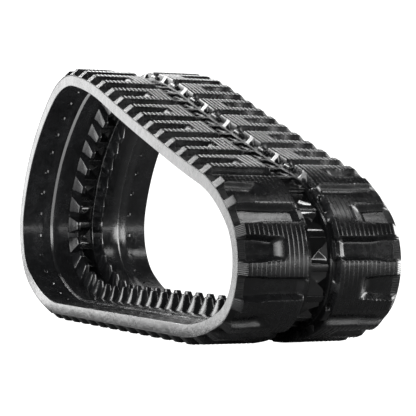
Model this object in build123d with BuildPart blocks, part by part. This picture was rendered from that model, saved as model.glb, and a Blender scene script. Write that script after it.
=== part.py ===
"""Rubber track for a compact tracked machine, as an assembly of its separate layers.

The belt is a closed loop. Its neutral line is a chain of straight runs and tangent arcs in the XZ plane,
and every layer is measured from that line: h is the height outwards from it, s is the place along it in
pitches. +X is the front end, +Y the right side, +Z up. The origin is the bottom centre of the loop.
The four flex hinges sit at the corners of a parallelogram, so the loop leans as a four-bar linkage.
"""

import os
from dataclasses import dataclass
from math import cos, pi, radians, sin, tan

from build123d import *

# Belt size class
belt_width = 450
pitch = 86
pitch_count = 50

# Heights of the layers from the neutral line, outwards
tread_top = 30
groove_floor = 9
ply_top = 6.5
skim_top = 5
skim_bottom = -4
shoulder_face = -25
roller_face = -33
guide_floor = -32
guide_tip_height = -81

# Places across the belt, from its centre
window_half_width = 26
channel_half_width = 33
roller_path_start = 62
roller_path_edge = 126
ramp_width = 7
side_slope = 20
pocket_end = 120

# Tread lugs: each pitch holds one leg, with a groove on both sides of it
leg_top_length = 32
leg_foot_length = 44

# Guide lugs, one pair on each steel core
guide_base = (58, 34)
guide_tip = (28, 13)
guide_base_centre = 45
guide_tip_centre = 39.5
guide_round = 5
guide_sink = 8
guide_trim_length = 0.9
guide_trim_inner = 20
guide_trim_outer = 70

# Steel core: two wings, a bridge bar and two horns
core_top = -8
core_bottom = -20
core_corner_radius = 8
horn_root = -16
wing_root = 30
wing_tip = 165
wing_root_length = 36
wing_tip_length = 26
bridge_length = 14
horn_base = (34, 20)
horn_tip = (14, 7)
horn_tip_height = -72
horn_base_centre = 44
horn_tip_centre = 40

# Rubber sheath of the bridge bar, and the webs that close the windows
bar_length = 20
bar_bottom = -24
web_outer = -6
web_inner = -11
web_crease = 1.8
web_facet_length = 44
web_facet_width = 44

# Steel cords
cable_radius = 2.5
cable_height = 0.5
cable_first = 50
cable_spacing = 20
cable_count = 9
cable_setback = 0.4
cable_clearance = 0.05

# Flex hinges: a round knuckle across the carcass, with relief for the lean beyond it
knuckle_radius = (groove_floor - roller_face) / 2
knuckle_height = (groove_floor + roller_face) / 2
knuckle_gap = 0.3
relief_angle = 3.6
mask_inside = -110
mask_outside = 60
mask_margin = 5
wedge_margin = 20

# A hair short of a span's end, so that a point there still falls on that span
just_before = 1e-9
flat_bow = 1e-3

# The neutral line, clockwise from the front of the bottom run: name, length in pitches, turn in degrees.
# The two straight runs have no length here, because they are what closes the loop.
loop_chain = [
    ("bottom_straight", None, 0),
    ("rear_toe", 4.06, 29.0),
    ("rear_bend", 3.37, 81.5),
    ("rear_ease", 2.89, 24.0),
    ("rear_side", 3.05, 16.5),
    ("apex", 2.63, 37.5),
    ("apex_ease", 3.45, 12.0),
    ("top_sag", 4.26, -2.0),
    ("top_straight", None, 0),
    ("front_lead", 2.61, -2.5),
    ("front_shoulder", 2.61, 27.0),
    ("front_bend", 3.71, 117.0),
    ("front_ease", 3.15, 20.0),
]
chain_start = 18.72


@dataclass
class Span:
    """One straight or arc of the neutral line: its start, heading, length and clockwise turn."""

    x: float
    z: float
    heading: float
    length: float
    turn: float

    def at(self, distance):
        """Returns x, z and heading at a distance along the span."""
        if self.turn == 0:
            x = self.x + distance * cos(self.heading)
            z = self.z + distance * sin(self.heading)
            return x, z, self.heading
        radius = self.length / self.turn
        heading = self.heading - distance / radius
        x = self.x + radius * (sin(self.heading) - sin(heading))
        z = self.z + radius * (cos(heading) - cos(self.heading))
        return x, z, heading


def chain_spans(lengths):
    """Returns the spans of the chain, joined end to end from the origin."""
    x, z, heading = 0.0, 0.0, pi
    spans = []
    for (_, _, turn), length in zip(loop_chain, lengths):
        span = Span(x, z, heading, length, radians(turn))
        spans.append(span)
        x, z, heading = span.at(length)
    return spans


def closing_lengths():
    """Returns every span's length, with the two straights solved so that the loop closes."""
    lengths = [0 if length is None else length * pitch for _, length, _ in loop_chain]
    spans = chain_spans(lengths)
    gap_x, gap_z, _ = spans[-1].at(spans[-1].length)
    (first, a), (second, b) = [
        (index, spans[index].heading) for index, item in enumerate(loop_chain) if item[1] is None
    ]
    determinant = cos(a) * sin(b) - cos(b) * sin(a)
    lengths[first] = (-gap_x * sin(b) + gap_z * cos(b)) / determinant
    lengths[second] = (-gap_z * cos(a) + gap_x * sin(a)) / determinant
    scale = pitch * pitch_count / sum(lengths)
    return [length * scale for length in lengths]


spans = chain_spans(closing_lengths())


def raw_point(s, h=0.0):
    """Returns x, z and heading at s pitches round the loop and height h, in the chain's own frame."""
    distance = ((s - chain_start) % pitch_count) * pitch
    for span in spans:
        if distance <= span.length:
            break
        distance -= span.length
    x, z, heading = span.at(min(distance, span.length))
    return x - h * sin(heading), z + h * cos(heading), heading


samples = [raw_point(index / 100, tread_top) for index in range(100 * pitch_count)]
shift_x = -(min(point[0] for point in samples) + max(point[0] for point in samples)) / 2
shift_z = tread_top


def loop_point(s, h=0.0):
    """Returns the point of the loop at s pitches and height h, as x and z."""
    x, z, _ = raw_point(s, h)
    return x + shift_x, z + shift_z


def loop_plane(s):
    """Returns the workplane at s: x along the belt, y to the right side, z outwards."""
    x, z, heading = raw_point(s)
    return Plane(
        origin=(x + shift_x, 0, z + shift_z),
        x_dir=(cos(heading), 0, sin(heading)),
        z_dir=(-sin(heading), 0, cos(heading)),
    )


def local_to_loop(s, along, h):
    """Returns x and z of a point given along the belt and outwards from the frame at s."""
    x, z, heading = raw_point(s, h)
    return x + shift_x + along * cos(heading), z + shift_z + along * sin(heading)


def line_pieces(s_start, s_end, h):
    """Draws the loop line at height h from s_start to s_end: an arc or a straight for each span."""
    knots = [s_start]
    place = chain_start - pitch_count
    while place < s_end:
        for span in spans:
            if s_start < place < s_end:
                knots.append(place)
            place += span.length / pitch
    knots.append(s_end)
    for low, high in zip(knots, knots[1:]):
        ends = loop_point(low, h), loop_point(high - just_before, h)
        middle = loop_point((low + high) / 2, h)
        bow = abs(
            (ends[1][0] - ends[0][0]) * (middle[1] - ends[0][1])
            - (ends[1][1] - ends[0][1]) * (middle[0] - ends[0][0])
        )
        if bow < flat_bow:
            Line(*ends)
        else:
            ThreePointArc(ends[0], middle, ends[1])


def loop_ring(h_low, h_high, y_low, y_high):
    """Returns a closed band round the whole loop between two heights and two places across the belt."""
    with BuildPart() as ring:
        with BuildSketch(Plane.XZ.offset(-y_high)):
            with BuildLine():
                line_pieces(chain_start, chain_start + pitch_count, h_high)
            make_face()
            with BuildLine():
                line_pieces(chain_start, chain_start + pitch_count, h_low)
            make_face(mode=Mode.SUBTRACT)
        extrude(amount=y_high - y_low)
    return ring.part


def band_patch(s_start, s_end, h_low, h_high, y_low, y_high):
    """Returns a length of band between two places along the belt."""
    with BuildPart() as patch:
        with BuildSketch(Plane.XZ.offset(-y_high)):
            with BuildLine():
                line_pieces(s_start, s_end, h_high)
                Line(loop_point(s_end - just_before, h_high), loop_point(s_end - just_before, h_low))
                line_pieces(s_start, s_end, h_low)
                Line(loop_point(s_start, h_low), loop_point(s_start, h_high))
            make_face()
        extrude(amount=y_high - y_low)
    return patch.part


def across(side, inner, outer):
    """Returns the low and high y of a strip on one side of the belt, side being -1 or 1."""
    return min(side * inner, side * outer), max(side * inner, side * outer)


# Hinge places: the front and rear ground hinges are given, the two upper ones follow
def upper_hinges(front_ground, rear_ground, front_upper, rear_upper):
    """Returns the upper hinges' s so that the four hinges form a parallelogram."""
    step = 1e-4

    def mismatch(c, b):
        points = [loop_point(s, knuckle_height) for s in (front_ground, rear_ground, c, b)]
        d, a, c_point, b_point = points
        return b_point[0] - a[0] - c_point[0] + d[0], b_point[1] - a[1] - c_point[1] + d[1]

    for _ in range(6):
        base = mismatch(front_upper, rear_upper)
        by_c = mismatch(front_upper + step, rear_upper)
        by_b = mismatch(front_upper, rear_upper + step)
        m = [(by_c[i] - base[i]) / step for i in range(2)]
        n = [(by_b[i] - base[i]) / step for i in range(2)]
        determinant = m[0] * n[1] - n[0] * m[1]
        front_upper -= (base[0] * n[1] - n[0] * base[1]) / determinant
        rear_upper -= (m[0] * base[1] - base[0] * m[1]) / determinant
    return front_upper, rear_upper


front_ground_hinge = 15.0
rear_ground_hinge = 31.0
front_upper_hinge, rear_upper_hinge = upper_hinges(front_ground_hinge, rear_ground_hinge, 7.0, 39.0)


@dataclass
class Segment:
    """One of the four rigid lengths that the belt is divided into."""

    name: str
    start: float
    end: float

    def cores(self):
        """Returns the s of each steel core: they lie half a pitch from the tread grooves."""
        return [index + 0.5 for index in range(round(self.start), round(self.end))]


segments = [
    Segment("bottom_run", front_ground_hinge, rear_ground_hinge),
    Segment("rear_end", rear_ground_hinge, rear_upper_hinge),
    Segment("top_run", rear_upper_hinge, front_upper_hinge + pitch_count),
    Segment("front_end", front_upper_hinge, front_ground_hinge),
]
sides = {"left": -1, "right": 1}


def relief_wedges(s):
    """Returns the outlines of the two narrow wedges on a hinge that leave room for the lean."""
    wedges = []
    for reach in (mask_outside + wedge_margin, mask_inside - wedge_margin):
        spread = abs(reach - knuckle_height) * tan(radians(relief_angle))
        far_points = [local_to_loop(s, spread, reach), local_to_loop(s, -spread, reach)]
        wedges.append([loop_point(s, knuckle_height), *far_points])
    return wedges


def segment_mask(segment):
    """Returns the solid that a layer is cut with: hollow knuckle at its start, round one at its end."""
    with BuildPart() as mask:
        with BuildSketch(Plane.XZ):
            last = segment.end - just_before
            with BuildLine():
                line_pieces(segment.start, segment.end, mask_outside)
                Line(loop_point(last, mask_outside), loop_point(last, mask_inside))
                line_pieces(segment.start, segment.end, mask_inside)
                Line(loop_point(segment.start, mask_inside), loop_point(segment.start, mask_outside))
            make_face()
            for wedge in relief_wedges(segment.start) + relief_wedges(segment.end):
                with BuildLine():
                    Polyline(*wedge, close=True)
                make_face(mode=Mode.SUBTRACT)
            with Locations(loop_point(segment.end, knuckle_height)):
                Circle(knuckle_radius)
            with Locations(loop_point(segment.start, knuckle_height)):
                Circle(knuckle_radius + knuckle_gap, mode=Mode.SUBTRACT)
        extrude(amount=belt_width / 2 + mask_margin, both=True)
    return mask.part


def steel_cords(segment, side, clearance):
    """Returns one side's cords in a segment, thicker and longer by a clearance: 0 gives the cords themselves."""
    cord_start = segment.start + cable_setback - clearance / pitch
    cord_end = segment.end - cable_setback + clearance / pitch
    start_plane = loop_plane(cord_start)
    with BuildPart() as cords:
        for index in range(cable_count):
            y = side * (cable_first + cable_spacing * index)
            with BuildLine(Plane.XZ.offset(-y)) as route:
                line_pieces(cord_start, cord_end, cable_height)
            with BuildSketch(Plane(route.wire() @ 0, z_dir=start_plane.x_dir)):
                Circle(cable_radius + clearance)
            sweep(path=route.wire())
    return cords.part


def write(part, name):
    """Labels a finished piece and writes its STEP file."""
    part.label = name
    export_step(part, f"parts/{name}.step")


def write_segments(ring, name):
    """Cuts a layer that runs round the whole loop into its four segments and writes them."""
    for segment in segments:
        with BuildPart() as layer:
            add(ring)
            add(masks[segment.name], mode=Mode.INTERSECT)
        write(layer.part, f"{name}_{segment.name}")


os.makedirs("parts", exist_ok=True)
masks = {segment.name: segment_mask(segment) for segment in segments}

# Steel core: wings that carry the belt, a bridge bar between the windows, and two guide horns
with BuildPart() as core:
    with BuildSketch(Plane.XY.offset(core_bottom)):
        for side in sides.values():
            with BuildLine():
                Polyline(
                    (-wing_root_length / 2, side * wing_root),
                    (wing_root_length / 2, side * wing_root),
                    (wing_tip_length / 2, side * wing_tip),
                    (-wing_tip_length / 2, side * wing_tip),
                    close=True,
                )
            make_face()
        Rectangle(bridge_length, 2 * wing_root + 2)
    extrude(amount=core_top - core_bottom)
    fillet(core.edges().filter_by(Axis.Z).group_by(Axis.Y)[0], radius=core_corner_radius)
    fillet(core.edges().filter_by(Axis.Z).group_by(Axis.Y)[-1], radius=core_corner_radius)
    for side in sides.values():
        with BuildSketch(Plane.XY.offset(horn_root)):
            with Locations((0, side * horn_base_centre)):
                Rectangle(*horn_base)
        with BuildSketch(Plane.XY.offset(horn_tip_height)):
            with Locations((0, side * horn_tip_centre)):
                Rectangle(*horn_tip)
        loft()

# Rubber cover of one guide horn on the right side, sunk into the roller path
with BuildPart() as guide_lug:
    with BuildSketch(Plane.XY.offset(roller_face + guide_sink)):
        with Locations((0, guide_base_centre)):
            Rectangle(*guide_base)
    with BuildSketch(Plane.XY.offset(guide_tip_height)):
        with Locations((0, guide_tip_centre)):
            Rectangle(*guide_tip)
    loft()
    fillet(guide_lug.faces().sort_by(Axis.Z)[0].edges(), radius=guide_round)
guide_covers = {"right": guide_lug.part, "left": mirror(guide_lug.part, about=Plane.XZ)}

for segment in segments:
    # The steel cores of the segment, each a separate forging
    with BuildPart() as steel_cores:
        for s in segment.cores():
            add(loop_plane(s).location * core.part)
    write(steel_cores.part, f"steel_cores_{segment.name}")

    # Guide lug covers, trimmed to the curve of the roller path and hollow round the horns
    for side_name, side in sides.items():
        with BuildPart() as guide_lugs:
            for s in segment.cores():
                add(loop_plane(s).location * guide_covers[side_name])
            for s in segment.cores():
                trim_start = s - guide_trim_length / 2
                trim_span = across(side, guide_trim_inner, guide_trim_outer)
                trim_end = trim_start + guide_trim_length
                patch = band_patch(trim_start, trim_end, guide_floor, skim_bottom, *trim_span)
                add(patch, mode=Mode.SUBTRACT)
            add(steel_cores.part, mode=Mode.SUBTRACT)
        write(guide_lugs.part, f"guide_lugs_{side_name}_{segment.name}")

    # Rubber sheath on each bridge bar, between the sprocket windows
    with BuildPart() as bar_covers:
        for s in segment.cores():
            with BuildSketch(loop_plane(s).offset(bar_bottom)):
                Rectangle(bar_length, 2 * window_half_width)
            extrude(amount=skim_bottom - bar_bottom)
        add(steel_cores.part, mode=Mode.SUBTRACT)
    write(bar_covers.part, f"bar_covers_{segment.name}")

# The webs that close the windows, with a shallow four-facet hollow in both faces
with BuildPart() as web_ring:
    add(loop_ring(web_inner, web_outer, -window_half_width, window_half_width))
    for index in range(pitch_count):
        with BuildSketch(loop_plane(index + 0.5).offset(bar_bottom)):
            Rectangle(bar_length, 2 * window_half_width)
        extrude(amount=skim_bottom - bar_bottom, mode=Mode.SUBTRACT)
    for index in range(pitch_count):
        for face, direction in ((web_outer, -1), (web_inner, 1)):
            plane = loop_plane(index).offset(face)
            with BuildSketch(plane) as facets:
                Rectangle(web_facet_length, web_facet_width)
            crease = Vertex(*(plane.origin + plane.z_dir * direction * web_crease))
            loft(sections=[facets.sketch, crease], mode=Mode.SUBTRACT)
write_segments(web_ring.part, "window_webs")

for side_name, side in sides.items():
    # Carcass rubber: shoulder, ramp and raised roller path, moulded round the cores
    with BuildPart() as roller_path:
        add(loop_ring(roller_face, shoulder_face, *across(side, roller_path_start, roller_path_edge)))
        outer_side = roller_path.faces().sort_by(Axis.Y)[-1 if side > 0 else 0]
        chamfer(outer_side.inner_wires()[0].edges(), length=ramp_width)
    with BuildPart() as carcass_ring:
        add(loop_ring(shoulder_face, skim_bottom, *across(side, window_half_width, belt_width / 2)))
        add(loop_ring(guide_floor, shoulder_face, *across(side, window_half_width, roller_path_start)))
        add(roller_path.part)
        for index in range(pitch_count):
            add(loop_plane(index + 0.5).location * core.part, mode=Mode.SUBTRACT)
    write_segments(carcass_ring.part, f"carcass_{side_name}")

    # Steel cords: separate cables at the neutral line, in the skim rubber
    with BuildPart() as skim_ring:
        add(loop_ring(skim_bottom, skim_top, *across(side, window_half_width, belt_width / 2)))
    for segment in segments:
        write(steel_cords(segment, side, 0), f"steel_cords_{side_name}_{segment.name}")
        with BuildPart() as cord_skim:
            add(skim_ring.part)
            add(masks[segment.name], mode=Mode.INTERSECT)
            add(steel_cords(segment, side, cable_clearance), mode=Mode.SUBTRACT)
        write(cord_skim.part, f"cord_skim_{side_name}_{segment.name}")

    # Tread rubber: base, sloping block ends, long grooves and short pockets one pitch apart
    with BuildPart() as tread_ring:
        add(loop_ring(groove_floor, tread_top, *across(side, channel_half_width, belt_width / 2)))
        chamfer(
            tread_ring.faces().sort_by(Axis.Y)[-1 if side > 0 else 0].outer_wire().edges(),
            length=side_slope,
        )
        add(loop_ring(ply_top, groove_floor, *across(side, window_half_width, belt_width / 2)))
        for parity, inner in ((0, channel_half_width - 1), (1, pocket_end)):
            y_low, y_high = across(side, inner, belt_width / 2 + 1)
            with BuildSketch(Plane.XZ.offset(-y_high)):
                for index in range(pitch_count):
                    long_groove = (index % 2 == 0) == (side < 0)
                    if long_groove != (parity == 0):
                        continue
                    with BuildLine():
                        Polyline(
                            local_to_loop(index - 0.5, leg_foot_length / 2, groove_floor),
                            local_to_loop(index - 0.5, leg_top_length / 2, tread_top + 4),
                            local_to_loop(index + 0.5, -leg_top_length / 2, tread_top + 4),
                            local_to_loop(index + 0.5, -leg_foot_length / 2, groove_floor),
                            close=True,
                        )
                    make_face()
            extrude(amount=y_high - y_low, mode=Mode.SUBTRACT)
    write_segments(tread_ring.part, f"tread_{side_name}")

# Breaker ply over both cord belts
with BuildPart() as ply_ring:
    for side in sides.values():
        add(loop_ring(skim_top, ply_top, *across(side, window_half_width, belt_width / 2)))
write_segments(ply_ring.part, "breaker_ply")

for name, s in (
    ("front_ground", front_ground_hinge),
    ("rear_ground", rear_ground_hinge),
    ("front_upper", front_upper_hinge),
    ("rear_upper", rear_upper_hinge),
):
    print(name, "hinge s", round(s, 4), "x, z", [round(value, 4) for value in loop_point(s, knuckle_height)])
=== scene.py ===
"""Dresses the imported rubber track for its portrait: moulded tread, carcass, guide lugs, windows and studio.

The belt's skin is modelled flat, as a strip measured along the loop, across it and outwards from its
neutral line, and is then laid on the loop. Lengths in the dataclasses are in millimetres, places along the
loop are in pitches, and meshes are in metres.
"""

import logging
import math
from dataclasses import dataclass, field
from enum import Enum
from functools import lru_cache
from typing import Callable, Iterable, Optional, Union

import bmesh
import bpy
from mathutils import Matrix, Vector

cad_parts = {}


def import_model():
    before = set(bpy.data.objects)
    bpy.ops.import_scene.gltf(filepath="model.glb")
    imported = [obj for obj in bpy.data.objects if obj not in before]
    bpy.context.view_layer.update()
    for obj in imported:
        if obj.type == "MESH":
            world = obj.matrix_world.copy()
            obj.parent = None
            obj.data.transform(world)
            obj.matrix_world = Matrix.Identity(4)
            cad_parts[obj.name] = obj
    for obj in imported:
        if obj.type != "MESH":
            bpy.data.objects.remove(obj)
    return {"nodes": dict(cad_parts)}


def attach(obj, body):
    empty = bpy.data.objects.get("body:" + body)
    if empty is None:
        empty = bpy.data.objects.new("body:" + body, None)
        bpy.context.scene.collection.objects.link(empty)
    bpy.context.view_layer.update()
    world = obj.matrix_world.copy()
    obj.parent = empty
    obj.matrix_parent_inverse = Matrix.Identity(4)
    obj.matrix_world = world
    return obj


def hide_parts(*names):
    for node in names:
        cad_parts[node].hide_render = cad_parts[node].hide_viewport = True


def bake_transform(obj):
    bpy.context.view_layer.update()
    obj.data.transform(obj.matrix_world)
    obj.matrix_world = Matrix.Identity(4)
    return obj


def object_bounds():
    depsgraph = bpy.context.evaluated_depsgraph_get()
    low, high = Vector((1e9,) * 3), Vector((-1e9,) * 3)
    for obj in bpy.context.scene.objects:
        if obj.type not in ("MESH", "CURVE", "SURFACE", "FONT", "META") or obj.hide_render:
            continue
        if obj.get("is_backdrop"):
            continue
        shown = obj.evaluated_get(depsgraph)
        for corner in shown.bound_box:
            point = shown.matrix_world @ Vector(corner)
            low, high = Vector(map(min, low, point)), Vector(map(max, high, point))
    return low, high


log = logging.getLogger("track")
MM = 0.001
KNUCKLE_HEIGHT = -12.0
RELIEF_ANGLE = 3.6


class Side(Enum):
    """The two halves of the belt, by the sign of their Y."""

    LEFT = -1
    RIGHT = 1

    @property
    def word(self) -> str:
        """Returns the side's name as the CAD nodes use it."""
        return self.name.lower()


class Groove(Enum):
    """The two kinds of opening between tread lugs."""

    LONG = "long"
    SHORT = "short"


def smooth(value: float, low: float, high: float) -> float:
    """Eases from 0 at low to 1 at high.

    Args:
        value: The number to ease.
        low: Where the result is 0.
        high: Where the result is 1.

    Returns:
        A number from 0 to 1.
    """
    t = min(max((value - low) / (high - low), 0.0), 1.0)
    return t * t * (3 - 2 * t)


def profile(value: float, stops: tuple[tuple[float, float], ...]) -> float:
    """Reads a piecewise-linear profile.

    Args:
        value: Where to read it.
        stops: Places and heights, in rising order of place.

    Returns:
        The height at value.
    """
    if value <= stops[0][0]:
        return stops[0][1]
    for (low, low_height), (high, high_height) in zip(stops, stops[1:]):
        if value <= high:
            return low_height + (high_height - low_height) * (value - low) / (high - low)
    return stops[-1][1]


# ---------------------------------------------------------------------------------------------- the loop


@dataclass(frozen=True)
class Span:
    """One straight or arc of the neutral line."""

    x: float
    z: float
    heading: float
    length: float
    turn: float

    def at(self, distance: float) -> tuple[float, float, float]:
        """Returns x, z and heading at a distance along the span."""
        if self.turn == 0:
            x = self.x + distance * math.cos(self.heading)
            z = self.z + distance * math.sin(self.heading)
            return x, z, self.heading
        radius = self.length / self.turn
        heading = self.heading - distance / radius
        x = self.x + radius * (math.sin(self.heading) - math.sin(heading))
        z = self.z + radius * (math.cos(heading) - math.cos(self.heading))
        return x, z, heading


@dataclass
class Loop:
    """The closed neutral line of the belt, as straights and arcs met end to end."""

    pitch: float = 86.0
    count: int = 50
    start: float = 18.72
    lift: float = 30.0
    chain: tuple[tuple[str, Optional[float], float], ...] = (
        ("bottom_straight", None, 0),
        ("rear_toe", 4.06, 29.0),
        ("rear_bend", 3.37, 81.5),
        ("rear_ease", 2.89, 24.0),
        ("rear_side", 3.05, 16.5),
        ("apex", 2.63, 37.5),
        ("apex_ease", 3.45, 12.0),
        ("top_sag", 4.26, -2.0),
        ("top_straight", None, 0),
        ("front_lead", 2.61, -2.5),
        ("front_shoulder", 2.61, 27.0),
        ("front_bend", 3.71, 117.0),
        ("front_ease", 3.15, 20.0),
    )
    spans: list[Span] = field(default_factory=list)
    shift_x: float = 0.0

    def __post_init__(self) -> None:
        """Closes the chain and centres it over the origin."""
        self.spans = self.join(self.closing_lengths())
        outline = [self.raw(index / 100)[0] for index in range(100 * self.count)]
        self.shift_x = -(min(outline) + max(outline)) / 2

    def join(self, lengths: list[float]) -> list[Span]:
        """Returns the chain's spans with these lengths, joined end to end."""
        x, z, heading = 0.0, 0.0, math.pi
        spans = []
        for (_, _, turn), length in zip(self.chain, lengths):
            span = Span(x, z, heading, length, math.radians(turn))
            spans.append(span)
            x, z, heading = span.at(length)
        return spans

    def closing_lengths(self) -> list[float]:
        """Returns every span's length, with both straights solved so that the loop closes."""
        lengths = [0.0 if length is None else length * self.pitch for _, length, _ in self.chain]
        spans = self.join(lengths)
        gap_x, gap_z, _ = spans[-1].at(spans[-1].length)
        (first, a), (second, b) = [
            (index, spans[index].heading) for index, item in enumerate(self.chain) if item[1] is None
        ]
        determinant = math.cos(a) * math.sin(b) - math.cos(b) * math.sin(a)
        lengths[first] = (-gap_x * math.sin(b) + gap_z * math.cos(b)) / determinant
        lengths[second] = (-gap_z * math.cos(a) + gap_x * math.sin(a)) / determinant
        scale = self.pitch * self.count / sum(lengths)
        return [length * scale for length in lengths]

    def raw(self, s: float) -> tuple[float, float, float]:
        """Returns x and z of the tread's outline and the heading at s, before the loop is centred."""
        distance = ((s - self.start) % self.count) * self.pitch
        for span in self.spans:
            if distance <= span.length:
                break
            distance -= span.length
        x, z, heading = span.at(min(distance, span.length))
        return x - self.lift * math.sin(heading), z + self.lift * math.cos(heading), heading

    @lru_cache(maxsize=None)
    def frame(self, s: float) -> tuple[float, float, float, float]:
        """Returns x and z of the neutral line and the cosine and sine of its heading at s."""
        x, z, heading = self.raw(s)
        cosine, sine = math.cos(heading), math.sin(heading)
        return x + self.shift_x + self.lift * sine, z + self.lift - self.lift * cosine, cosine, sine

    def __hash__(self) -> int:
        """Lets the cached frames be kept for each loop."""
        return id(self)

    def lay(self, s: float, y: float, h: float) -> Vector:
        """Lays a point of the flat strip on the loop.

        Args:
            s: Its place along the loop, in pitches.
            y: Its place across the belt, in millimetres.
            h: Its height outwards from the neutral line, in millimetres.

        Returns:
            The point in metres.
        """
        x, z, cosine, sine = self.frame(round(s, 6))
        return Vector(((x - h * sine) * MM, y * MM, (z + h * cosine) * MM))

    def matrix(self, s: float) -> Matrix:
        """Returns the frame at s as a matrix: x along the belt, y to the right side, z outwards."""
        x, z, cosine, sine = self.frame(round(s, 6))
        return Matrix(
            (
                (cosine, 0, -sine, x * MM),
                (0, 1, 0, 0),
                (sine, 0, cosine, z * MM),
                (0, 0, 0, 1),
            )
        )


@dataclass(frozen=True)
class Hinge:
    """A flex hinge of the belt and the two bodies that meet there, in the order of travel."""

    s: float
    before: str
    after: str
    reach: float = 60.0
    height: float = KNUCKLE_HEIGHT

    def ends(self, loop: Loop) -> tuple[Vector, Vector]:
        """Returns where the skin starts and stops turning from one body to the other."""
        place = loop.matrix(self.s)
        start = place @ Vector((-self.reach * MM, 0, self.height * MM))
        return start, place @ Vector((self.reach * MM, 0, self.height * MM))


@dataclass(frozen=True)
class Length:
    """A length of skin, which rides on one body or bends across one hinge."""

    name: str
    start: int
    end: int
    body: Optional[str] = None
    hinge: Optional[Hinge] = None
    open_start: bool = False
    open_end: bool = False

    @property
    def bodies(self) -> tuple[str, ...]:
        """Returns the bodies that the length belongs to."""
        return (self.body,) if self.body else (self.hinge.before, self.hinge.after)

    @property
    def windows(self) -> range:
        """Returns the windows that lie in the length, by their place."""
        if self.hinge is None:
            return range(self.start + (1 if self.open_start else 0), self.end + 1)
        return range(self.start + 1, self.end)


@dataclass
class Belt:
    """How the belt is divided: seven lengths of skin, and the pitches of the four bodies."""

    loop: Loop = field(default_factory=Loop)
    lengths: tuple[Length, ...] = (
        Length("nose_flex", 5, 9, hinge=Hinge(7.003, "top_run", "front_end")),
        Length("nose", 9, 13, "front_end"),
        Length("toe_flex", 13, 17, hinge=Hinge(15.0, "front_end", "bottom_run")),
        Length("ground", 17, 31, "bottom_run", open_end=True),
        Length("tail", 31, 37, "rear_end", open_start=True),
        Length("tail_flex", 37, 41, hinge=Hinge(38.9992, "rear_end", "top_run")),
        Length("incline", 41, 55, "top_run"),
    )
    bodies: tuple[tuple[str, int, int], ...] = (
        ("front_end", 7, 15),
        ("bottom_run", 15, 31),
        ("rear_end", 31, 39),
        ("top_run", 39, 57),
    )

    def fasten(self, piece: bpy.types.Object, length: Length, nodes: Iterable[str]) -> None:
        """Puts a length of skin on its body, or bakes a flex length's transform into its mesh, and hides the
        CAD nodes that it stands for.

        Args:
            piece: The finished piece.
            length: The length that it covers.
            nodes: The kinds of CAD node that it stands for, without the body's name.
        """
        if length.hinge is None:
            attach(piece, length.body)
        else:
            start, end = length.hinge.ends(self.loop)
            length.hinge.before
            length.hinge.after
            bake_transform(piece)
        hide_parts(*(f"{kind}_{body}" for kind in nodes for body in length.bodies))


# ---------------------------------------------------------------------------------------- shader helpers


@dataclass(frozen=True)
class Signal:
    """A number that varies over a surface, with the usual operators."""

    tree: "Shader"
    socket: bpy.types.NodeSocket

    def math(self, operation: str, *others: Union["Signal", float]) -> "Signal":
        """Returns one Math node's result, with this signal as its first value."""
        return self.tree.math(operation, self, *others)

    def __add__(self, other: Union["Signal", float]) -> "Signal":
        """Returns the sum."""
        return self.math("ADD", other)

    __radd__ = __add__

    def __mul__(self, other: Union["Signal", float]) -> "Signal":
        """Returns the product."""
        return self.math("MULTIPLY", other)

    __rmul__ = __mul__

    def __sub__(self, other: Union["Signal", float]) -> "Signal":
        """Returns the difference."""
        return self.math("SUBTRACT", other)

    def __rsub__(self, other: float) -> "Signal":
        """Returns a number less this signal."""
        return self.tree.math("SUBTRACT", other, self)

    def __abs__(self) -> "Signal":
        """Returns the size of the number without its sign."""
        return self.math("ABSOLUTE")

    def __gt__(self, other: Union["Signal", float]) -> "Signal":
        """Returns 1 where this signal is the greater, and 0 elsewhere."""
        return self.math("GREATER_THAN", other)

    def eased(self, low: float, high: float) -> "Signal":
        """Returns this signal eased from 0 at low to 1 at high."""
        values = {"Value": self, "From Min": low, "From Max": high}
        return self.tree.node("ShaderNodeMapRange", {"interpolation_type": "SMOOTHSTEP"}, values)


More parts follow.
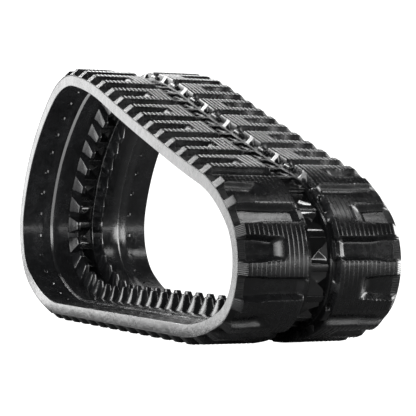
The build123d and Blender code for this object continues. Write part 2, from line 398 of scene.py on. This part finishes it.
class Shader:
    """The node tree of one material or world."""

    def __init__(self, owner: Union[bpy.types.Material, bpy.types.World]) -> None:
        """Starts the nodes of a new material or world."""
        owner.use_nodes = True
        self.owner = owner
        self.tree = owner.node_tree
        self.surface = self.tree.nodes.get("Principled BSDF")

    def made(self, kind: str, settings: dict, values: dict) -> bpy.types.Node:
        """Adds a node.

        Args:
            kind: The node's type.
            settings: Its settings, which are made first.
            values: Its sockets' values or links, by name or number.

        Returns:
            The node.
        """
        node = self.tree.nodes.new(kind)
        for name, value in settings.items():
            setattr(node, name, value)
        for key, value in values.items():
            if isinstance(value, Signal):
                self.tree.links.new(value.socket, node.inputs[key])
            else:
                node.inputs[key].default_value = value
        return node

    def node(self, kind: str, settings: dict, values: dict, output: Union[int, str] = 0) -> Signal:
        """Returns one output of a new node, whose arguments are as in made."""
        return Signal(self, self.made(kind, settings, values).outputs[output])

    def math(self, operation: str, *values: Union[Signal, float]) -> Signal:
        """Returns one Math node's result."""
        return self.node("ShaderNodeMath", {"operation": operation}, dict(enumerate(values)))

    def place(self) -> Signal:
        """Returns the Object coordinates."""
        return self.node("ShaderNodeTexCoord", {}, {}, "Object")

    def strip(self) -> tuple[Signal, Signal]:
        """Returns the place along the belt and across it, in metres."""
        flat = self.node("ShaderNodeUVMap", {"uv_map": "strip"}, {})
        parts = self.made("ShaderNodeSeparateXYZ", {}, {0: flat})
        return Signal(self, parts.outputs[0]), Signal(self, parts.outputs[1])

    def noise(self, scale: float, detail: float = 3.0, rough: float = 0.5) -> Signal:
        """Returns a cloud of noise in Object coordinates, about 0 to 1."""
        values = {"Vector": self.place(), "Scale": scale, "Detail": detail, "Roughness": rough}
        return self.node("ShaderNodeTexNoise", {}, values)

    def blend(self, factor: Signal, low: tuple, high: tuple) -> Signal:
        """Returns a colour between two colours."""
        values = {0: factor, 6: (*low, 1.0), 7: (*high, 1.0)}
        return self.node("ShaderNodeMix", {"data_type": "RGBA"}, values, 2)

    def bump(self, height: Signal, depth: float, under: Optional[Signal] = None) -> Signal:
        """Returns a normal raised by a height signal, over another where one is given."""
        values = {"Height": height, "Distance": depth, "Strength": 1.0}
        if under is not None:
            values["Normal"] = under
        return self.node("ShaderNodeBump", {}, values)

    def set(self, **values: Union[Signal, float, tuple]) -> None:
        """Sets the Principled shader's sockets, named with underscores for spaces."""
        for name, value in values.items():
            socket = self.surface.inputs[name.replace("_", " ")]
            if isinstance(value, Signal):
                self.tree.links.new(value.socket, socket)
            else:
                socket.default_value = value

    def show(self, lit: Signal, seen: Signal) -> None:
        """Ends the tree in one shader as the object lights others and another as the camera sees it."""
        camera_ray = self.node("ShaderNodeLightPath", {}, {}, "Is Camera Ray")
        choice = self.node("ShaderNodeMixShader", {}, {0: camera_ray, 1: lit, 2: seen})
        output = next(node for node in self.tree.nodes if node.bl_idname.startswith("ShaderNodeOutput"))
        self.tree.links.new(choice.socket, output.inputs["Surface"])


@dataclass(frozen=True)
class Rubber:
    """A moulded rubber finish: deep black with a soft gloss, faint clouds and mould texture."""

    name: str
    dark: tuple[float, float, float] = (0.0028, 0.0029, 0.0031)
    light: tuple[float, float, float] = (0.0070, 0.0072, 0.0078)
    gloss: float = 0.24
    gloss_spread: float = 0.12
    specular: float = 0.5
    coat: float = 0.0
    pebble: float = 0.00004
    pebble_scale: float = 900.0
    streak_depth: float = 0.00025
    streak_scale: float = 70.0
    cloud_scale: float = 9.0
    flutes: bool = False
    flute_period: float = 0.0043
    flute_depth: float = 0.0004
    flute_roughness: float = 0.08
    slope_edge: float = 0.2045
    ripple: float = 0.0
    ripple_scale: float = 38.0

    def make(self) -> bpy.types.Material:
        """Returns the finish as a material."""
        shader = Shader(bpy.data.materials.new(self.name))
        clouds = shader.noise(self.cloud_scale, 5.0, 0.6)
        streaks = shader.noise(self.streak_scale, 4.0, 0.65)
        grain = shader.noise(self.pebble_scale, 2.0)
        tone = (0.6 * clouds + 0.4 * streaks).eased(0.35, 0.68)
        normal = shader.bump(grain, self.pebble)
        normal = shader.bump(streaks, self.streak_depth, normal)
        rough = self.gloss + self.gloss_spread * (tone - 0.5)
        if self.ripple:
            normal = shader.bump(shader.noise(self.ripple_scale, 4.0, 0.55), self.ripple, normal)
        if self.flutes:
            along, across = shader.strip()
            edge = abs(across) > self.slope_edge
            wave = (along * (2 * math.pi / self.flute_period)).math("SINE")
            normal = shader.bump(wave * edge, self.flute_depth, normal)
            rough = rough + self.flute_roughness * edge
        shader.set(
            Base_Color=shader.blend(tone, self.dark, self.light),
            Roughness=rough,
            Specular_IOR_Level=self.specular,
            Coat_Weight=self.coat,
            Normal=normal,
        )
        return shader.owner


@dataclass(frozen=True)
class Steel:
    """A plain steel finish with scale and fine pits, for the parts sealed in the rubber."""

    name: str
    dark: tuple[float, float, float]
    light: tuple[float, float, float]
    rough: float
    metal: float
    scale_size: float = 60.0
    pit_size: float = 420.0
    pit_depth: float = 0.0003
    pit_roughness: float = 0.2

    def make(self) -> bpy.types.Material:
        """Returns the finish as a material."""
        shader = Shader(bpy.data.materials.new(self.name))
        pits = shader.noise(self.pit_size, 3.0)
        tone = shader.noise(self.scale_size, 6.0, 0.6).eased(0.35, 0.65)
        shader.set(
            Base_Color=shader.blend(tone, self.dark, self.light),
            Metallic=self.metal,
            Roughness=self.rough + self.pit_roughness * (pits - 0.5),
            Normal=shader.bump(pits, self.pit_depth),
        )
        return shader.owner


@dataclass
class Finishes:
    """Every finish of the belt, made once."""

    tread: bpy.types.Material = field(
        default_factory=lambda: Rubber("tread_rubber_skin", flutes=True, gloss=0.27).make()
    )
    carcass: bpy.types.Material = field(
        default_factory=lambda: Rubber("carcass_rubber_skin", cloud_scale=14.0, ripple=0.0009).make()
    )
    guide: bpy.types.Material = field(
        default_factory=lambda: Rubber("guide_rubber_skin", gloss=0.18, gloss_spread=0.08).make()
    )
    web: bpy.types.Material = field(
        default_factory=lambda: Rubber("web_rubber_skin", gloss=0.12, gloss_spread=0.06, coat=1.0).make()
    )
    core: bpy.types.Material = field(
        default_factory=lambda: Steel(
            "forged_core", dark=(0.05, 0.05, 0.055), light=(0.14, 0.135, 0.13), rough=0.55, metal=0.9
        ).make()
    )
    cord: bpy.types.Material = field(
        default_factory=lambda: Steel(
            "coated_cord", dark=(0.38, 0.32, 0.2), light=(0.6, 0.52, 0.36), rough=0.35, metal=1.0
        ).make()
    )

    def dress_nodes(self, nodes: dict[str, bpy.types.Object]) -> None:
        """Gives every CAD node its finish in its own material slots."""
        kinds = {
            "steel_cores": self.core,
            "steel_cords": self.cord,
            "tread": self.tread,
            "guide_lugs": self.guide,
            "window_webs": self.web,
        }
        for name, node in nodes.items():
            finish = next((made for kind, made in kinds.items() if name.startswith(kind)), self.carcass)
            if not node.data.materials:
                node.data.materials.append(finish)
            for index in range(len(node.data.materials)):
                node.data.materials[index] = finish


# ------------------------------------------------------------------------------------------ piece helpers


def finish_mesh(
    work: bmesh.types.BMesh, name: str, finish: bpy.types.Material, crease: float = 32.0
) -> bpy.types.Object:
    """Makes a finished piece of a bmesh, with soft shading that breaks at creases.

    Args:
        work: The mesh, which is used up.
        name: The piece's name.
        finish: Its material.
        crease: The angle, in degrees, past which an edge stays sharp.

    Returns:
        The piece, at the origin.
    """
    bmesh.ops.recalc_face_normals(work, faces=work.faces)
    for face in work.faces:
        face.smooth = True
    for edge in work.edges:
        if len(edge.link_faces) == 2 and edge.calc_face_angle() > math.radians(crease):
            edge.smooth = False
    mesh = bpy.data.meshes.new(name)
    work.to_mesh(mesh)
    work.free()
    piece = bpy.data.objects.new(name, mesh)
    bpy.context.scene.collection.objects.link(piece)
    piece.data.materials.append(finish)
    log.info("%s: %d faces", name, len(mesh.polygons))
    return piece


@dataclass
class Strip:
    """A closed tube of skin: a grid rolled round its cross-section and laid along the belt."""

    loop: Loop
    side: Side
    around: list[float]
    along: list[float]
    shape: Callable[[int, float], tuple[float, float, float]]

    def make(self, relief_start: bool, relief_end: bool) -> bmesh.types.BMesh:
        """Builds the tube.

        Args:
            relief_start: Whether its first end is cut back from the open pivot.
            relief_end: Whether its last end is.

        Returns:
            The closed tube, laid on the loop, with its flat place as a UV map.
        """
        work = bmesh.new()
        columns, rows = len(self.around) - 1, len(self.along) - 1
        bmesh.ops.create_grid(work, x_segments=columns, y_segments=rows, size=1.0)
        flat = work.loops.layers.uv.new("strip")
        places = {}
        for vert in work.verts:
            column = round((vert.co.x + 1) / 2 * columns)
            row = round((vert.co.y + 1) / 2 * rows)
            s, a, h = self.shape(column, self.along[row])
            cut = abs(h - KNUCKLE_HEIGHT) * math.tan(math.radians(RELIEF_ANGLE)) / self.loop.pitch
            s += cut if relief_start and row == 0 else 0.0
            s -= cut if relief_end and row == rows else 0.0
            places[vert] = (s * self.loop.pitch * MM, self.side.value * a * MM)
            vert.co = self.loop.lay(s, self.side.value * a, h)
        for face in work.faces:
            for corner in face.loops:
                corner[flat].uv = places[corner.vert]
        bmesh.ops.remove_doubles(work, verts=work.verts, dist=1e-6)
        rims = [edge for edge in work.edges if edge.is_boundary]
        bmesh.ops.holes_fill(work, edges=rims, sides=0)
        return work


# -------------------------------------------------------------------------------------------------- tread


@dataclass
class Tread:
    """The staggered lugs of the tread, with ribbed tops, long grooves and short side pockets."""

    belt: Belt
    finish: bpy.types.Material
    top: float = 29.0
    floor: float = 9.0
    under: float = 6.0
    channel_edge: float = 33.0
    belt_edge: float = 225.0
    ledge: float = 8.6
    lug_end: float = 46.0
    rib_first: float = 56.5
    rib_step: float = 12.5
    rib_count: int = 12
    rib_height: float = 1.0
    rib_half_foot: float = 1.7
    rib_half_top: float = 0.8
    brow_end: float = 47.5
    sill_height: float = 20.0
    groove_flare: float = 4.0
    wall: tuple[tuple[float, float], ...] = (
        (15.0, 1.0),
        (16.0, 0.985),
        (16.9, 0.94),
        (18.4, 0.79),
        (20.6, 0.52),
        (22.8, 0.26),
        (25.4, 0.08),
        (29.0, 0.01),
        (33.0, 0.0),
    )
    steps: tuple[float, ...] = (43, 37, 33, 29, 25.4, 22.8, 20.6, 18.4, 16.9, 16, 15, 8, 0)

    def across(self) -> list[tuple[float, float]]:
        """Returns the lines round the cross-section: place from the belt's centre, and rib height."""
        lines = [(self.channel_edge, -1.0)]
        brow = (self.channel_edge, 34.2, 36.0, 40.0, 43.0, 43.8, 44.6, self.lug_end, self.brow_end)
        lines += [(a, 0.0) for a in brow]
        for index in range(self.rib_count):
            centre = self.rib_first + self.rib_step * index
            lines.append((centre - self.rib_half_foot, 0.0))
            lines += [(centre - self.rib_half_top, 1.0), (centre + self.rib_half_top, 1.0)]
            lines.append((centre + self.rib_half_foot, 0.0))
            if index in (0, 3, 4, 5, 6):
                lines.append((centre + self.rib_step / 2, 0.0))
        lines += [(a, 0.0) for a in (197.0, 203.4, 205.4, 212.0, 219.0, 224.2, self.belt_edge)]
        return lines + [(a, -1.0) for a in (self.belt_edge, 140.0, self.channel_edge)]

    def crown(self, a: float) -> float:
        """Returns the height of a lug's top at a place across."""
        return profile(a, ((203.4, self.top), (205.4, self.top - 1.0), (224.2, 10.4), (self.belt_edge, 9.4)))

    def bed(self, groove: Groove, a: float, off: float) -> float:
        """Returns the height between two lugs: a long groove's floor and sill, or a pocket and its bridge.

        Args:
            groove: Which kind of opening it is.
            a: The place across.
            off: The distance along from the opening's middle.

        Returns:
            The height.
        """
        if groove is Groove.LONG:
            edge = ((self.channel_edge, self.ledge), (34.2, 17.0))
            sill = ((36.0, self.sill_height), (self.brow_end, self.sill_height))
            return profile(a, (*edge, *sill, (62.0, self.floor)))
        ramp = (
            (99.7, self.top),
            (104.5, 28.0),
            (109.3, 26.0),
            (112.7, 24.0),
            (117.5, 20.6),
            (122.3, 17.0),
            (125.7, 14.6),
            (130.5, 11.8),
            (135.3, 10.0),
            (141.0, 9.0),
        )
        if a > self.lug_end:
            return profile(a, ramp)
        buttress = profile(a, ((self.channel_edge, self.ledge), (self.lug_end, self.top)))
        beside = 1.0 - smooth(abs(off), 13.0, 15.0)
        return buttress * beside + self.lug_side(a) * (1 - beside)

    def lug_side(self, a: float) -> float:
        """Returns the height of a lug's end at the channel: a ledge, a steep wall and a rounded brow."""
        wall = ((43.0, self.ledge), (43.8, 11.0), (44.6, 26.0))
        return profile(a, (*wall, (self.lug_end, self.top - 0.6), (self.brow_end, self.top)))

    def height(self, groove: Groove, a: float, off: float, leg: float) -> float:
        """Returns the moulded height at a place of the flat tread.

        Args:
            groove: The kind of the nearest opening.
            a: The place across.
            off: The distance along from that opening's middle.
            leg: The distance along from the nearest lug's middle.

        Returns:
            The height.
        """
        crown = self.crown(a) if a > self.brow_end else self.lug_side(a)
        bed = min(self.bed(groove, a, off), self.crown(a))
        share = profile(leg, self.wall)
        return bed + (crown - bed) * share

    def flare(self, a: float, leg: float) -> float:
        """Returns how far a groove's wall leans into the lug towards the belt's side."""
        share = 1.0 if 15.5 < leg < 26 else 0.5 if 14.5 < leg < 30 else 0.0
        return self.groove_flare * share * smooth(a, 138.0, 182.0)

    def piece(self, side: Side, length: Length) -> None:
        """Builds one side's tread along one length."""
        pitch = self.belt.loop.pitch
        lines = self.across()
        along = self.rows(length)

        def shape(column: int, row: float) -> tuple[float, float, float]:
            """Returns the place of one point of the grid."""
            a, rise = lines[column]
            nearest = round(row)
            off = (row - nearest) * pitch
            leg = pitch / 2 - abs(off)
            long_here = (nearest % 2 == 0) == (side is Side.LEFT)
            groove = Groove.LONG if long_here else Groove.SHORT
            base = self.height(groove, a, off, leg)
            if rise < 0:
                base = self.under
            elif rise > 0:
                base += self.rib_height * rise * smooth(base, self.top - 1.6, self.top - 0.1)
            return row + math.copysign(self.flare(a, leg), off) / pitch, a, base

        strip = Strip(self.belt.loop, side, [line[0] for line in lines], along, shape)
        work = strip.make(length.open_start, length.open_end)
        name = f"tread_skin_{side.word}_{length.name}"
        piece = finish_mesh(work, name, self.finish, 30.0)
        self.belt.fasten(piece, length, (f"tread_{side.word}",))

    def rows(self, length: Length) -> list[float]:
        """Returns the lines along one length, in pitches, close together where the walls are."""
        pitch = self.belt.loop.pitch
        offsets = [-step for step in self.steps] + list(reversed(self.steps))[1:-1]
        rows = []
        for index in range(length.start, length.end):
            rows += [index + 0.5 + offset / pitch for offset in offsets]
        return rows + [float(length.end)]

    def build(self) -> None:
        """Builds the tread of both sides."""
        for length in self.belt.lengths:
            for side in Side:
                self.piece(side, length)


# ------------------------------------------------------------------------------------------------ carcass


@dataclass
class Carcass:
    """The body of the belt: side bands, shoulders, ramps and the roller paths inside the loop."""

    belt: Belt
    finish: bpy.types.Material
    section: tuple[tuple[float, float], ...] = (
        (26.0, 6.5),
        (33.5, 6.5),
        (80.0, 6.5),
        (150.0, 6.5),
        (224.0, 6.5),
        (225.0, 5.6),
        (225.0, -3.0),
        (225.0, -12.0),
        (225.0, -23.6),
        (223.6, -25.0),
        (205.0, -25.0),
        (170.0, -25.0),
        (166.0, -25.0),
        (162.0, -25.0),
        (158.0, -25.0),
        (146.0, -25.0),
        (144.0, -25.8),
        (128.0, -26.2),
        (126.0, -26.6),
        (124.8, -27.6),
        (119.6, -32.2),
        (118.0, -33.0),
        (90.0, -33.0),
        (63.0, -33.0),
        (61.8, -32.0),
        (28.0, -32.0),
        (26.0, -30.5),
        (26.0, -10.0),
        (26.0, 6.5),
    )
    rows: tuple[float, ...] = (0, 5, 8, 17, 26, 34.5)
    dimple_depth: float = 3.0
    dimple_reach: float = 6.0

    def piece(self, side: Side, length: Length) -> None:
        """Builds one side's carcass along one length."""
        pitch = self.belt.loop.pitch
        along = []
        for index in range(length.start, length.end):
            along += [index + offset / pitch for offset in self.rows]
            along += [index + 0.5] + [index + 1 - offset / pitch for offset in reversed(self.rows[1:])]
        along.append(float(length.end))

        def shape(column: int, row: float) -> tuple[float, float, float]:
            """Returns the place of one point of the grid."""
            a, h = self.section[column]
            off = abs(row - round(row)) * pitch
            if 160 < a < 168 and h < KNUCKLE_HEIGHT and off < self.dimple_reach:
                h += self.dimple_depth
            return row, a, h

        strip = Strip(self.belt.loop, side, [point[0] for point in self.section], along, shape)
        work = strip.make(length.open_start, length.open_end)
        name = f"carcass_skin_{side.word}_{length.name}"
        piece = finish_mesh(work, name, self.finish, 28.0)
        nodes = [f"carcass_{side.word}", f"cord_skim_{side.word}"]
        if side is Side.LEFT:
            nodes.append("breaker_ply")
        self.belt.fasten(piece, length, nodes)

    def build(self) -> None:
        """Builds the carcass of both sides."""
        for length in self.belt.lengths:
            for side in Side:
                self.piece(side, length)


# ----------------------------------------------------------------------------------- guide lugs, bars, webs


@dataclass
class Moulded:
    """A small moulded part that repeats along the belt, once in each pitch."""

    belt: Belt
    finish: bpy.types.Material

    def block(self, low: Vector, high: Vector) -> bmesh.types.BMesh:
        """Returns a box between two corners, in millimetres."""
        work = bmesh.new()
        bmesh.ops.create_cube(work, size=1.0)
        bmesh.ops.scale(work, vec=high - low, verts=work.verts)
        bmesh.ops.translate(work, vec=(low + high) / 2, verts=work.verts)
        return work

    def soften(self, work: bmesh.types.BMesh, edges: Iterable, width: float, segments: int) -> None:
        """Rounds some edges of a mould."""
        bmesh.ops.bevel(
            work,
            geom=list(edges),
            offset=width,
            offset_type="OFFSET",
            segments=segments,
            profile=0.5,
            affect="EDGES",
            material=-1,
            clamp_overlap=True,
        )

    def repeat(self, mould: bmesh.types.BMesh, places: Iterable[float]) -> bmesh.types.BMesh:
        """Copies a mould to each place along the belt.

        Args:
            mould: One part in the belt's own frame, in millimetres. It is used up.
            places: Where the copies stand, in pitches.

        Returns:
            All the copies in one mesh, in metres.
        """
        pattern = bpy.data.meshes.new("pattern")
        mould.to_mesh(pattern)
        mould.free()
        pattern.transform(Matrix.Scale(MM, 4))
        row = bmesh.new()
        for place in places:
            first = len(row.verts)
            row.from_mesh(pattern)
            row.verts.ensure_lookup_table()
            bmesh.ops.transform(row, matrix=self.belt.loop.matrix(place), verts=row.verts[first:])
        bpy.data.meshes.remove(pattern)
        return row


@dataclass
class GuideLugs(Moulded):
    """The two rows of tapered guide lugs that stand on the steel cores."""

    foot: tuple[float, float] = (60.0, 36.0)
    waist: tuple[float, float] = (46.0, 25.0)
    tip: tuple[float, float] = (28.0, 13.0)
    foot_centre: float = 45.0
    tip_centre: float = 39.5
    foot_height: float = -31.0
    waist_height: float = -48.0
    tip_height: float = -81.0
    rounding: float = 3.2

    def mould(self, side: Side) -> bmesh.types.BMesh:
        """Returns one lug of a side."""
        work = self.block(Vector((-0.5, -0.5, self.tip_height)), Vector((0.5, 0.5, self.foot_height)))
        geometry = list(work.verts) + list(work.edges) + list(work.faces)
        level = Vector((0, 0, self.waist_height))
        bmesh.ops.bisect_plane(work, geom=geometry, plane_co=level, plane_no=Vector((0, 0, 1)))
        for vert in work.verts:
            if abs(vert.co.z - self.foot_height) < 1:
                size, centre = self.foot, self.foot_centre
            elif abs(vert.co.z - self.tip_height) < 1:
                size, centre = self.tip, self.tip_centre
            else:
                size, centre = self.waist, (self.foot_centre + self.tip_centre) / 2 + 0.6
            vert.co.x = math.copysign(size[0] / 2, vert.co.x)
            vert.co.y = side.value * centre + math.copysign(size[1] / 2, vert.co.y)
        sharp = [edge for edge in work.edges if self.lies_at(edge, self.foot_height, self.waist_height)]
        self.soften(work, [edge for edge in work.edges if edge not in sharp], self.rounding, 2)
        return work

    def lies_at(self, edge: bmesh.types.BMEdge, *heights: float) -> bool:
        """Returns whether an edge lies level at one of these heights."""
        return any(all(abs(vert.co.z - height) < 1 for vert in edge.verts) for height in heights)

    def build(self) -> None:
        """Builds the lugs of every body and side."""
        for body, first, last in self.belt.bodies:
            for side in Side:
                work = self.repeat(self.mould(side), [index + 0.5 for index in range(first, last)])
                name = f"guide_lug_skins_{side.word}_{body}"
                piece = finish_mesh(work, name, self.finish, 40.0)
                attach(piece, body)
                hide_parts(f"guide_lugs_{side.word}_{body}")


@dataclass
class Bars(Moulded):
    """The rounded rubber bars that cross the channel on each steel core."""

    half_length: float = 10.6
    reach: float = 33.5
    top: float = 0.5
    bottom: float = -24.5
    rounding: float = 2.6

    def build(self) -> None:
        """Builds the bars of every body."""
        for body, first, last in self.belt.bodies:
            low = Vector((-self.half_length, -self.reach, self.bottom))
            work = self.block(low, Vector((self.half_length, self.reach, self.top)))
            long_edges = [
                edge for edge in work.edges if abs(edge.verts[0].co.y - edge.verts[1].co.y) > self.reach
            ]
            self.soften(work, long_edges, self.rounding, 3)
            work = self.repeat(work, [index + 0.5 for index in range(first, last)])
            piece = finish_mesh(work, f"bar_skins_{body}", self.finish, 40.0)
            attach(piece, body)
            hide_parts(f"bar_covers_{body}")


@dataclass
class Webs(Moulded):
    """The thin webs that close the windows, each a shallow four-sided dish with a cross of ridges."""

    columns: tuple[float, ...] = (-34.0, -21.0, 21.0, 34.0)
    rows: tuple[float, ...] = (-27.0, -23.0, 23.0, 27.0)
    outer: float = -5.0
    inner: float = -11.0
    dish: float = 3.5
    ridge_width: float = 5.5
    ridge_rise: float = 3.2
    ridge_reach: float = 0.97

    def mould(self) -> bmesh.types.BMesh:
        """Returns one web: a plate dished on both faces, with ridges along its diagonals."""
        work = bmesh.new()
        bmesh.ops.create_grid(work, x_segments=3, y_segments=3, size=1.0)
        for vert in work.verts:
            vert.co.x = self.columns[round((vert.co.x + 1) * 1.5)]
            vert.co.y = self.rows[round((vert.co.y + 1) * 1.5)]
        panel = min(work.faces, key=lambda face: face.calc_center_median().length)
        hub = bmesh.ops.poke(work, faces=[panel])["verts"][0]
        self.soften(work, hub.link_edges, self.ridge_width / 2, 2)
        back = bmesh.ops.extrude_face_region(work, geom=list(work.faces))
        inner_verts = {item for item in back["geom"] if isinstance(item, bmesh.types.BMVert)}
        half_length, half_width = self.columns[2], self.rows[2]
        for vert in work.verts:
            along, across = abs(vert.co.x) / half_length, abs(vert.co.y) / half_width
            share = max(along, across)
            on_diagonal = share < self.ridge_reach and abs(along - across) < 0.02
            ridge = self.ridge_rise if on_diagonal else 0.0
            sunk = self.dish * max(1.0 - share, 0.0)
            if vert in inner_verts:
                vert.co.z = self.inner + 0.5 * sunk - ridge
            else:
                vert.co.z = self.outer - sunk + ridge
        return work

    def build(self) -> None:
        """Builds the webs of every length."""
        for length in self.belt.lengths:
            work = self.repeat(self.mould(), length.windows)
            piece = finish_mesh(work, f"web_skins_{length.name}", self.finish, 62.0)
            self.belt.fasten(piece, length, ("window_webs",))


# -------------------------------------------------------------------------------------------------- studio


@dataclass
class Studio:
    """A pale floor, soft panels of light and the camera."""

    camera_place: tuple[float, float, float] = (4.42809, -1.78788, 0.33060)
    azimuth: float = 67.0216
    elevation: float = -0.1607
    roll: float = 0.3332
    lens: float = 137.85
    shift: tuple[float, float] = (0.00076, 0.01487)
    floor_size: float = 14.0
    floor_drop: float = 0.0005
    floor_tone: float = 0.12
    seen_white: float = 1.3
    world_light: float = 0.05

    def camera(self) -> None:
        """Sets the camera."""
        angles = (self.azimuth, self.elevation, self.roll)
        azimuth, elevation, roll = (math.radians(angle) for angle in angles)
        level = math.cos(elevation)
        back = Vector((math.sin(azimuth) * level, -math.cos(azimuth) * level, math.sin(elevation)))
        right = Vector((math.cos(azimuth), math.sin(azimuth), 0))
        up = back.cross(right)
        turned_right = math.cos(roll) * right + math.sin(roll) * up
        turned_up = math.cos(roll) * up - math.sin(roll) * right
        data = bpy.data.cameras.new("studio_camera")
        data.lens = self.lens
        data.sensor_width = 36.0
        data.sensor_fit = "HORIZONTAL"
        data.shift_x, data.shift_y = self.shift
        camera = bpy.data.objects.new("studio_camera", data)
        axes = Matrix((turned_right, turned_up, back)).transposed().to_4x4()
        camera.matrix_world = Matrix.Translation(self.camera_place) @ axes
        bpy.context.scene.collection.objects.link(camera)
        bpy.context.scene.camera = camera

    def panel(self, name: str, place: Vector, aim: Vector, size: tuple[float, float], power: float) -> None:
        """Hangs one soft panel of light.

        Args:
            name: Its name.
            place: Its middle.
            aim: The point that it faces.
            size: Its width and height.
            power: Its power in watts.
        """
        data = bpy.data.lights.new(name, "AREA")
        data.shape = "RECTANGLE"
        data.size, data.size_y = size
        data.energy = power
        light = bpy.data.objects.new(name, data)
        light.rotation_euler = (place - aim).to_track_quat("Z", "Y").to_euler()
        light.location = place
        light.visible_camera = False
        bpy.context.scene.collection.objects.link(light)

    def floor(self) -> None:
        """Lays the pale floor."""
        work = bmesh.new()
        bmesh.ops.create_grid(work, x_segments=1, y_segments=1, size=self.floor_size)
        mesh = bpy.data.meshes.new("studio_floor")
        work.to_mesh(mesh)
        work.free()
        mesh.transform(Matrix.Translation((0, 0, -self.floor_drop)))
        floor = bpy.data.objects.new("studio_floor", mesh)
        shader = Shader(bpy.data.materials.new("pale_floor"))
        shader.set(Base_Color=(self.floor_tone, self.floor_tone, self.floor_tone, 1), Roughness=0.9)
        values = {"Color": (1, 1, 1, 1), "Strength": self.seen_white}
        white = shader.node("ShaderNodeEmission", {}, values)
        shader.show(Signal(shader, shader.surface.outputs[0]), white)
        floor.data.materials.append(shader.owner)
        bpy.context.scene.collection.objects.link(floor)
        floor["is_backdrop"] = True

    def world(self) -> None:
        """Sets the surroundings: white to look at, and dimmer as a source of light."""
        world = bpy.data.worlds.new("studio_white")
        shader = Shader(world)
        dim, bright = (
            shader.node("ShaderNodeBackground", {}, {"Color": (1, 1, 1, 1), "Strength": strength})
            for strength in (self.world_light, self.seen_white)
        )
        shader.show(dim, bright)
        bpy.context.scene.world = world

    def build(self) -> None:
        """Sets the whole studio."""
        self.camera()
        self.floor()
        self.world()
        middle = Vector((0, 0, 0.35))
        self.panel("left_panel", Vector((1.0, -3.6, 1.0)), middle, (6.0, 2.1), 400.0)
        self.panel("far_left_panel", Vector((-5.6, -2.6, 1.0)), middle, (3.6, 2.4), 110.0)
        self.panel("right_panel", Vector((0.6, 3.6, 1.0)), middle, (5.4, 2.1), 420.0)
        self.panel("key_panel", Vector((-3.3, -1.1, 2.9)), middle, (2.2, 2.2), 170.0)
        self.panel("back_panel", Vector((-4.6, 2.2, 2.4)), middle, (3.0, 2.0), 20.0)
        self.panel("front_strip", Vector((6.5, 2.3, 0.35)), middle, (4.0, 0.6), 45.0)
        beside = Vector((-1.2, -1.35, 0.02))
        overhead = beside + Vector((0.0, 0.001, 1.0))
        self.panel("floor_panel", beside, overhead, (3.0, 2.0), 75.0)
        self.panel("top_strip", Vector((1.1, 1.3, 3.4)), middle, (0.5, 1.0), 16.0)
        bpy.context.scene.view_settings.view_transform = "Standard"


def box_rows(box: tuple) -> list[list[float]]:
    """Returns a box's two corners as plain lists."""
    return [[float(value) for value in corner] for corner in box]


def main() -> None:
    """Builds every piece in order and logs the two sizes."""
    logging.basicConfig(level=logging.INFO, format="%(name)s: %(message)s")
    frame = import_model()
    cad_box = box_rows(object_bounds())
    log.info("CAD box %s", cad_box)
    Studio().build()
    belt = Belt()
    finishes = Finishes()
    finishes.dress_nodes(frame["nodes"])
    Carcass(belt, finishes.carcass).build()
    Tread(belt, finishes.tread).build()
    GuideLugs(belt, finishes.guide).build()
    Bars(belt, finishes.carcass).build()
    Webs(belt, finishes.web).build()
    visual_box = box_rows(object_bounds())
    log.info("visual box %s", visual_box)
    {"cad": cad_box, "visual": visual_box}


if __name__ == "__main__":
    main()
